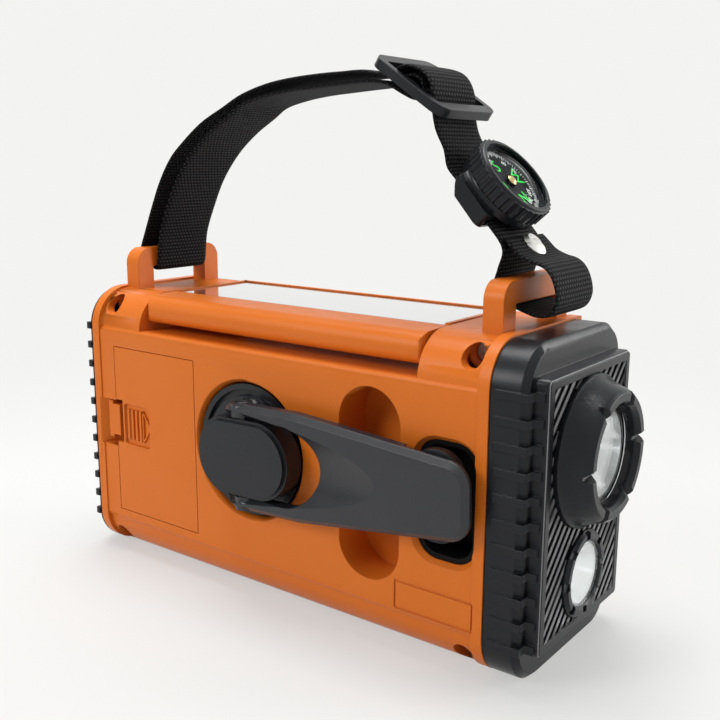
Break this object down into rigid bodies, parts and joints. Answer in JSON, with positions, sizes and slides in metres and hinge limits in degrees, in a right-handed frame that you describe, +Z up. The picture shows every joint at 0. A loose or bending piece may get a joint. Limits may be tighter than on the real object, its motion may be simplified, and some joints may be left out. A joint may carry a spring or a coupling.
{
  "type": "hand crank weather radio",
  "caption": "Portable emergency radio with fold-flat hand crank, geared generator, flip-up solar lid, end torch, dial face, telescopic antenna and webbing strap with compass.",
  "frame": {"origin": "centre of the case's base, on the surface it stands on", "axes": "+X along the case toward the torch, -Y toward the crank face, +Z up"},
  "size_m": [0.1749, 0.0721, 0.1567],
  "materials": {
    "orange_plastic": "satin moulded",
    "black_plastic": "satin moulded",
    "grey_plastic": "satin moulded",
    "gloss_black": "glossy",
    "steel": "plain",
    "chrome": "bright",
    "reflector": "bright metallised",
    "clear": "clear",
    "solar_glass": "glossy",
    "white_plastic": "diffusing",
    "gear_plastic": "plain",
    "board": "board",
    "cell_wrap": "wrap",
    "ferrite": "dull",
    "brass": "plain",
    "webbing": "woven",
    "rubber": "matt",
    "red_plastic": "glossy"
  },
  "bodies": {
    "case": {"rear_shell": "orange_plastic", "front_shell": "orange_plastic", "case_screws": "steel", "battery_cells": "cell_wrap", "battery_contacts": "steel", "knob_well": "black_plastic", "idler_axle": "steel", "gear_plate": "steel", "generator": "steel", "right_end_cap": "black_plastic", "torch_bezel": "black_plastic", "torch_lens": "clear", "torch_reflector": "reflector", "torch_led": "white_plastic", "lamp_ring": "black_plastic", "lamp_lens": "clear", "lamp_reflector": "reflector", "left_end_cap": "black_plastic", "usb_sockets": "steel", "main_board": "board", "ferrite_bar": "ferrite", "rechargeable_cell": "cell_wrap", "speaker": "black_plastic", "dial_window": "clear", "dial_scale": "white_plastic", "strap": "webbing", "strap_slider": "black_plastic", "strap_rivet": "steel", "compass_body": "black_plastic", "compass_bezel": "black_plastic", "compass_lens": "clear"},
    "crank": {"crank_hub": "gloss_black", "crank_shaft": "steel", "crank_fold_pin": "steel", "drive_gear": "gear_plastic"},
    "arm": {"crank_arm": "grey_plastic", "crank_knob_pin": "steel"},
    "hand_knob": {"crank_knob": "black_plastic"},
    "idler": {"idler_gear": "gear_plastic"},
    "rotor": {"generator_pinion": "brass"},
    "lid": {"solar_lid": "orange_plastic", "solar_panel": "solar_glass", "lid_hinge_pins": "steel", "reading_lamp": "white_plastic"},
    "door": {"battery_door": "orange_plastic"},
    "latch": {"battery_latch": "orange_plastic"},
    "tuning": {"tuning_knob": "black_plastic"},
    "pointer": {"dial_pointer": "red_plastic"},
    "volume": {"volume_knob": "black_plastic"},
    "band": {"band_switch": "black_plastic"},
    "button_a": {"torch_button": "black_plastic"},
    "button_b": {"lamp_button": "black_plastic"},
    "button_c": {"alert_button": "black_plastic"},
    "antenna": {"antenna_knuckle": "chrome", "antenna_tube": "chrome"},
    "antenna_two": {"antenna_middle": "chrome"},
    "antenna_three": {"antenna_tip": "chrome"},
    "port_flap": {"port_cover": "rubber"},
    "card": {"compass_card": "black_plastic"}
  },
  "joints": [
    {"name": "crank_spin", "type": "hinge", "parent": "case", "child": "crank", "pos_m": [-0.00555, -0.0275, 0.0462], "axis": [0, -1, 0], "continuous": true},
    {"name": "crank_fold", "type": "hinge", "parent": "crank", "child": "arm", "pos_m": [-0.00305, -0.0315, 0.04628], "axis": [0.0332, 0, -0.9995], "range_deg": [0, 180]},
    {"name": "knob_spin", "type": "hinge", "parent": "arm", "child": "hand_knob", "pos_m": [0.06216, -0.0307, 0.04845], "axis": [0, -1, 0], "continuous": true},
    {"name": "idler_spin", "type": "hinge", "parent": "case", "child": "idler", "pos_m": [0.02055, -0.0275, 0.0462], "axis": [0, -1, 0], "continuous": true},
    {"name": "generator_spin", "type": "hinge", "parent": "case", "child": "rotor", "pos_m": [0.04135, -0.0275, 0.0462], "axis": [0, -1, 0], "continuous": true},
    {"name": "lid_hinge", "type": "hinge", "parent": "case", "child": "lid", "pos_m": [0, -0.02, 0.0827], "axis": [1, 0, 0], "range_deg": [0, 110]},
    {"name": "door_swing", "type": "hinge", "parent": "case", "child": "door", "pos_m": [-0.0275, -0.0275, 0.04375], "axis": [0, 0, 1], "range_deg": [0, 60]},
    {"name": "latch_slide", "type": "slide", "parent": "door", "child": "latch", "axis": [1, 0, 0], "range_m": [0, 0.0015], "stiffness_N_per_m": 400},
    {"name": "tuning_turn", "type": "hinge", "parent": "case", "child": "tuning", "pos_m": [0.046, 0.0275, 0.0304], "axis": [0, 1, 0], "range_deg": [0, 300]},
    {"name": "pointer_slide", "type": "slide", "parent": "case", "child": "pointer", "axis": [1, 0, 0], "range_m": [0, 0.056]},
    {"name": "volume_turn", "type": "hinge", "parent": "case", "child": "volume", "pos_m": [0.014, 0.0275, 0.0304], "axis": [0, 1, 0], "range_deg": [0, 270]},
    {"name": "band_slide", "type": "slide", "parent": "case", "child": "band", "axis": [0, 0, 1], "range_m": [0, 0.007]},
    {"name": "torch_button_press", "type": "slide", "parent": "case", "child": "button_a", "axis": [0, -1, 0], "range_m": [0, 0.0012], "stiffness_N_per_m": 600},
    {"name": "lamp_button_press", "type": "slide", "parent": "case", "child": "button_b", "axis": [0, -1, 0], "range_m": [0, 0.0012], "stiffness_N_per_m": 600},
    {"name": "alert_button_press", "type": "slide", "parent": "case", "child": "button_c", "axis": [0, -1, 0], "range_m": [0, 0.0012], "stiffness_N_per_m": 600},
    {"name": "antenna_swing", "type": "hinge", "parent": "case", "child": "antenna", "pos_m": [0.064, 0.0259, 0.075], "axis": [0, 1, 0], "range_deg": [0, 110]},
    {"name": "antenna_pull_one", "type": "slide", "parent": "antenna", "child": "antenna_two", "axis": [-1, 0, 0], "range_m": [0, 0.082]},
    {"name": "antenna_pull_two", "type": "slide", "parent": "antenna_two", "child": "antenna_three", "axis": [-1, 0, 0], "range_m": [0, 0.082]},
    {"name": "port_cover_swing", "type": "hinge", "parent": "case", "child": "port_flap", "pos_m": [-0.0767, 0, 0.03275], "axis": [0, -1, 0], "range_deg": [0, 95]},
    {"name": "compass_turn", "type": "hinge", "parent": "case", "child": "card", "pos_m": [0.06081, 0.0025, 0.12376], "axis": [0.7547, 0, 0.6561], "continuous": true}
  ],
  "couplings": [
    {"joint": "idler_spin", "follows": "crank_spin", "ratio": -3.8333},
    {"joint": "generator_spin", "follows": "crank_spin", "ratio": 12.778},
    {"joint": "pointer_slide", "follows": "tuning_turn", "m_per_rad": 0.010695}
  ]
}
